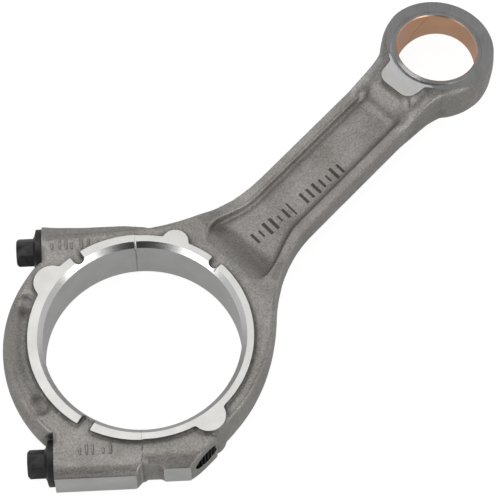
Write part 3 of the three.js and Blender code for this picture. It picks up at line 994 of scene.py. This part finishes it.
def makeBush():
    x = rod["centreDistance"]
    inner, outer = rod["pinBoreRadius"], rod["pinBoreRadius"] + rod["bushWall"] - bush["play"]
    mouth, edge = bush["mouth"], bush["edge"]
    wall = thick - bush["ends"]
    half = [(inner, wall), (inner, thick - mouth), (inner + mouth, thick), (outer - edge, thick),
            (outer, thick - edge), (outer, wall)]
    profile = half + [(radius, thick - z) for radius, z in reversed(half)]
    bpy.ops.mesh.primitive_circle_add(vertices=len(profile), radius=1, location=(0, 0, 0))
    piece = named("bush")
    for vertex, (radius, z) in zip(piece.data.vertices, profile):
        vertex.co = place(x + radius, 0, z)
    only(piece)
    bpy.ops.object.mode_set(mode="EDIT")
    bpy.ops.mesh.select_all(action="SELECT")
    bpy.ops.mesh.spin(steps=192, angle=2 * math.pi, center=place(x, 0, 0), axis=(0, 0, 1))
    bpy.ops.mesh.select_all(action="SELECT")
    bpy.ops.mesh.remove_doubles(threshold=0.01 * mm)
    bpy.ops.mesh.normals_make_consistent(inside=False)
    done()
    for vertex in piece.data.vertices:
        drop = (thick - taperHeight(fromBore(vertex.co)[0])) * mm
        vertex.co.z += -drop if vertex.co.z > middle * mm else drop
    turn = math.radians(bush["seamTurn"])
    bpy.ops.mesh.primitive_cube_add(size=1, location=(0, 0, 0))
    seam = named("seam")
    seam.scale = (1.2 * mm, bush["seam"] * mm, 40 * mm)
    settle(seam)
    seam.matrix_world = (Matrix.Translation(place(x, 0, middle)) @ Matrix.Rotation(turn, 4, "Z")
                         @ Matrix.Translation((rod["pinBoreRadius"] * mm, 0, 0))
                         @ Matrix.Rotation(math.radians(bush["seamSlant"]), 4, "X"))
    cut(piece, settle(seam))
    piece.name = piece.data.name = "lined_bush"
    piece.data.materials.clear()
    for look in ("bronze", "milled"):
        piece.data.materials.append(finishes[look])
    for face in piece.data.polygons:
        px, py, _ = fromBore(face.center)
        away = math.hypot(px - x, py) - rod["pinBoreRadius"]
        face.material_index = int(away > bush["mouth"] + 0.05)
    only(piece)
    bpy.ops.object.shade_smooth_by_angle(angle=math.radians(28))
    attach(piece, "rod")
    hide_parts("pin_bush")
    print("bush", len(piece.data.polygons), "faces")


makeBush()


# room, floor, lamps and camera
studio = {
    "focal": 203.903,
    "camera": (-0.371613, -0.347482, 1.016454),
    "turn": (26.3157, 0.1891, -47.8258),
    "floorGlow": 0.9,  # the floor as the camera sees it
    "floorShade": 0.27,  # and as it lights the object
    "lampDistance": 1.3,
    # brightness of the room from the horizon to straight up
    "room": ((0.0, 0.75), (0.3, 0.5), (0.8, 0.3)),
    # darker patches of the room: direction, where they are full, where they fade out, how bright
    "dark": (((-0.666, -0.602, 0.444), 17, 25, 0.01), ((0.595, 0.297, 0.746), 8, 22, 0.1)),
    # softboxes: azimuth and elevation, size, power
    "lamps": [
        ("overheadSoftbox", 155, 72, (0.7, 0.75), 2.4),
        ("leftSoftbox", 263, 24, (0.6, 0.55), 1.9),
        ("rightSoftbox", 2, 24, (0.6, 0.55), 1.9),
    ],
}


def makeStudio():
    bpy.ops.mesh.primitive_plane_add(size=6, location=(0, 0, -0.0002))
    floor = named("floor")
    pale = Finish("paleFloor")
    seen = pale.node("LightPath")
    glow, shade = studio["floorGlow"], studio["floorShade"]
    pale.shade(Base_Color=(0.3, 0.3, 0.3, 1), Roughness=0.9, Emission_Strength=1.0,
               Emission_Color=pale.mix(seen, (shade, shade, shade, 1), (glow, glow, glow, 1)))
    floor.data.materials.append(pale.material)
    world = bpy.data.worlds.new("studio")
    room = Finish("room", world, "Background")
    direction = room.node("TexCoord", output=0)
    height = room.node("SeparateXYZ", output=2, Vector=direction)
    light = room.ramp(height, *studio["room"])
    for aim, inner, outer, level in studio["dark"]:
        facing = room.node("VectorMath", {"operation": "DOT_PRODUCT"}, output=1, input0=direction,
                           input1=Vector(aim).normalized())
        spot = room.ramp(facing.join("ARCCOSINE") / math.pi * 2, (inner / 90, 1), (outer / 90, 0))
        light = room.mix(spot, light, (level, level, level, 1))
    room.shade(Color=light, Strength=1.0)
    bpy.context.scene.world = world


def makeLamp(name, azimuth, elevation, size, power):
    a, e = math.radians(azimuth), math.radians(elevation)
    back = Vector((math.sin(a) * math.cos(e), -math.cos(a) * math.cos(e), math.sin(e)))
    bpy.ops.object.light_add(type="AREA", location=back * studio["lampDistance"])
    light = bpy.context.active_object
    light.name = name
    light.rotation_euler = (-back).to_track_quat("-Z", "Y").to_euler()
    light.data.shape = "RECTANGLE"
    light.data.size, light.data.size_y = size
    light.data.energy = power


def makeCamera():
    camera = bpy.data.objects.new("camera", bpy.data.cameras.new("camera"))
    bpy.context.scene.collection.objects.link(camera)
    camera.location = studio["camera"]
    camera.rotation_euler = [math.radians(v) for v in studio["turn"]]
    camera.data.lens = studio["focal"]
    camera.data.sensor_width = 36
    camera.data.clip_start = 0.01
    bpy.context.scene.camera = camera


makeStudio()
for lamp in studio["lamps"]:
    makeLamp(*lamp)
makeCamera()
bpy.context.scene.view_settings.view_transform = "Standard"
print("studio ready")
